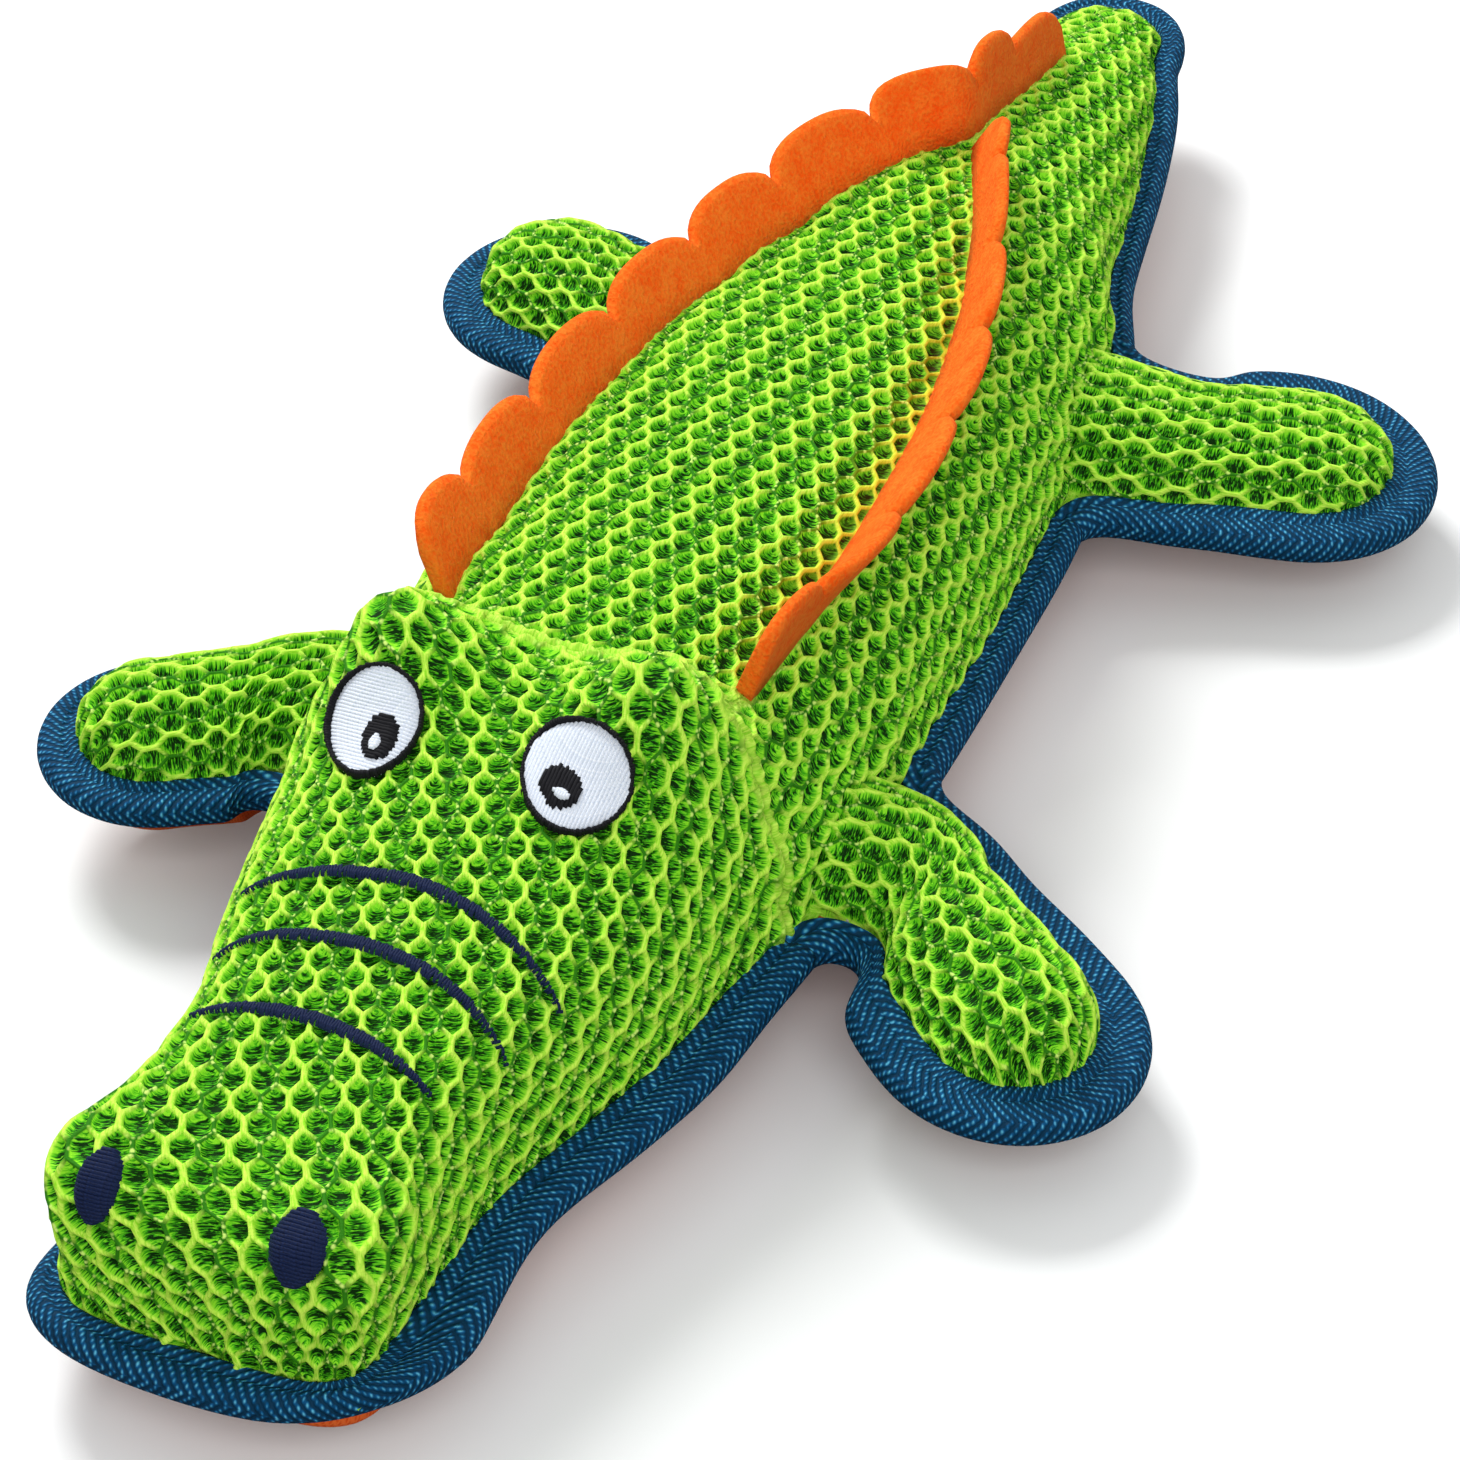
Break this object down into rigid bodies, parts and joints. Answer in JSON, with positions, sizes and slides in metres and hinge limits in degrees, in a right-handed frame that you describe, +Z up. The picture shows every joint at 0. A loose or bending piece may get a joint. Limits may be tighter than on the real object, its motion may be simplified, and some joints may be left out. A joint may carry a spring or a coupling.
{
  "type": "stuffed alligator dog toy",
  "caption": "Long stuffed alligator dog toy with open hexagonal mesh top, cloth belly, taped seam, twin felt back ridges, stub legs and stitched eyes.",
  "frame": {"origin": "centre of the bounding box's base, on the floor", "axes": "+Z up, -Y toward the snout, +X toward the toy's own left"},
  "size_m": [0.189, 0.3858, 0.0667],
  "materials": {
    "air_mesh": "open hexagonal knit",
    "edge_tape": "herringbone woven tape",
    "felt": "felt",
    "belly_cloth": "plain woven cloth",
    "fibre_fill": "loose fibre",
    "navy_thread": "satin stitch",
    "black_thread": "satin stitch",
    "white_thread": "satin stitch",
    "squeaker_plastic": "satin",
    "reed_plastic": "satin"
  },
  "bodies": {
    "torso": {"head_cover": "air_mesh", "back_panel": "air_mesh", "flank_panel_left": "air_mesh", "flank_panel_right": "air_mesh", "belly_panel": "belly_cloth", "body_stuffing": "fibre_fill", "tape_head": "edge_tape", "tape_tail": "edge_tape", "tape_flank_left": "edge_tape", "tape_flank_right": "edge_tape", "ridge_left": "felt", "ridge_right": "felt", "eye_outline_left": "black_thread", "eye_white_left": "white_thread", "eye_pupil_left": "black_thread", "eye_glint_left": "white_thread", "nostril_left": "navy_thread", "eye_outline_right": "black_thread", "eye_white_right": "white_thread", "eye_pupil_right": "black_thread", "eye_glint_right": "white_thread", "nostril_right": "navy_thread", "snout_wrinkle_1": "navy_thread", "snout_wrinkle_2": "navy_thread", "snout_wrinkle_3": "navy_thread", "squeaker_bulb": "squeaker_plastic", "squeaker_valve": "squeaker_plastic", "squeaker_reed": "reed_plastic"},
    "leg_front_left": {"leg_front_left_cover": "air_mesh", "leg_front_left_sole": "belly_cloth", "leg_front_left_tape": "edge_tape", "leg_front_left_stuffing": "fibre_fill"},
    "leg_front_right": {"leg_front_right_cover": "air_mesh", "leg_front_right_sole": "belly_cloth", "leg_front_right_tape": "edge_tape", "leg_front_right_stuffing": "fibre_fill"},
    "leg_rear_left": {"leg_rear_left_cover": "air_mesh", "leg_rear_left_sole": "belly_cloth", "leg_rear_left_tape": "edge_tape", "leg_rear_left_stuffing": "fibre_fill"},
    "leg_rear_right": {"leg_rear_right_cover": "air_mesh", "leg_rear_right_sole": "belly_cloth", "leg_rear_right_tape": "edge_tape", "leg_rear_right_stuffing": "fibre_fill"}
  },
  "joints": [
    {"name": "front_left_leg_flex", "type": "hinge", "parent": "torso", "child": "leg_front_left", "pos_m": [0.04183, -0.05575, 0.0175], "axis": [0, 1, 0], "range_deg": [-35, 25], "stiffness_Nm_per_rad": 0.15},
    {"name": "front_right_leg_flex", "type": "hinge", "parent": "torso", "child": "leg_front_right", "pos_m": [-0.05117, -0.05575, 0.0175], "axis": [0, -1, 0], "range_deg": [-35, 25], "stiffness_Nm_per_rad": 0.15},
    {"name": "rear_left_leg_flex", "type": "hinge", "parent": "torso", "child": "leg_rear_left", "pos_m": [0.04183, 0.06325, 0.0175], "axis": [0, 1, 0], "range_deg": [-35, 25], "stiffness_Nm_per_rad": 0.15},
    {"name": "rear_right_leg_flex", "type": "hinge", "parent": "torso", "child": "leg_rear_right", "pos_m": [-0.05117, 0.06325, 0.0175], "axis": [0, -1, 0], "range_deg": [-35, 25], "stiffness_Nm_per_rad": 0.15}
  ]
}
